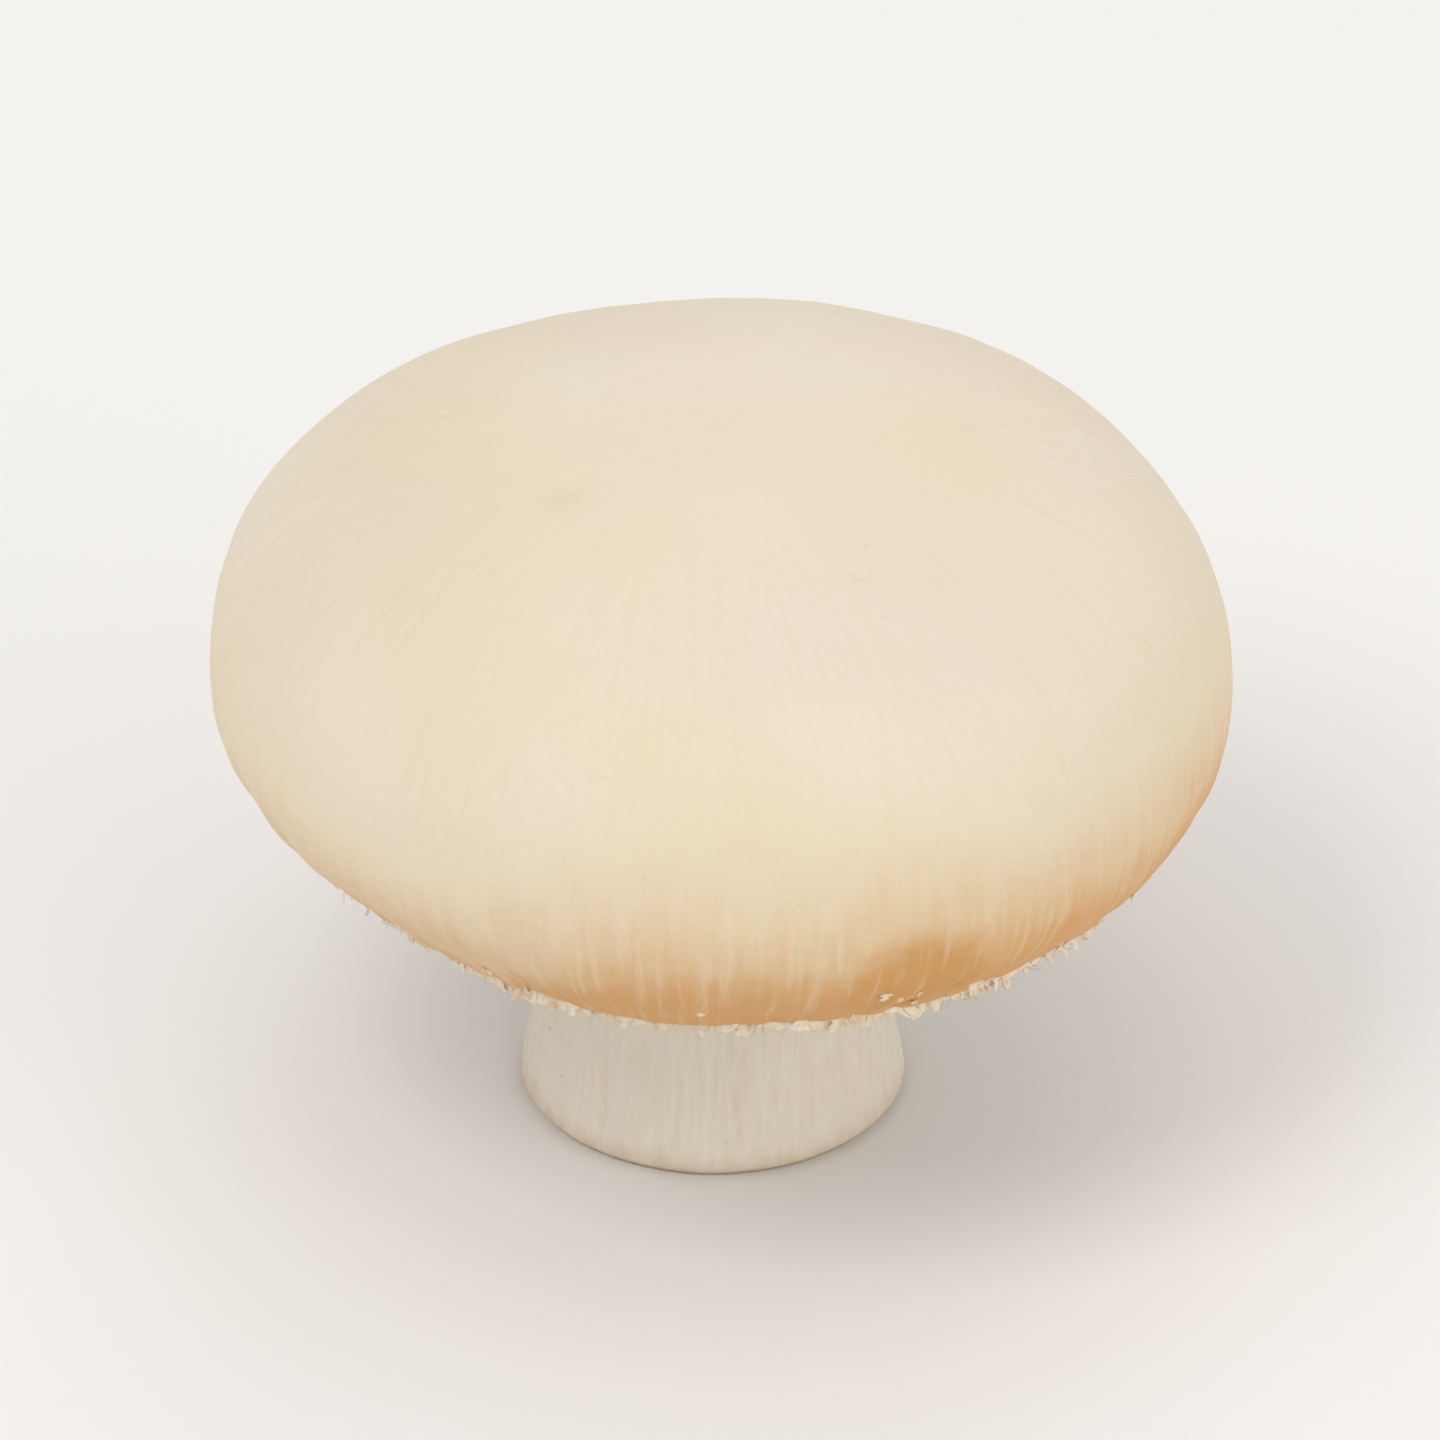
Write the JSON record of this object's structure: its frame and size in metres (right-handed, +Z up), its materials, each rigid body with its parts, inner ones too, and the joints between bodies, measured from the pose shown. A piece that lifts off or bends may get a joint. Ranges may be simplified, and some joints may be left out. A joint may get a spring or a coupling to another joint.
{
  "type": "button mushroom",
  "caption": "Whole white button mushroom with a full domed cap, torn veil at the margin, a ring of gills and a trimmed stem, standing upright on its flat cut face.",
  "frame": {"origin": "middle of the stem's flat cut face", "axes": "+Z up from the cut face to the cap, -Y towards the viewer, +X to the viewer's right"},
  "size_m": [0.0545, 0.0536, 0.0417],
  "materials": {
    "cap_skin": "matt, smooth, creamy white skin over white flesh, with faint cream, yellow and pink mottling",
    "gill_flesh": "matt pinkish tan, thin soft blades",
    "stem_flesh": "matt, finely fibrous creamy white, a little browned at the cut"
  },
  "bodies": {
    "root": {"cap": "cap_skin", "gills": "gill_flesh", "stem": "stem_flesh"}
  },
  "joints": []
}
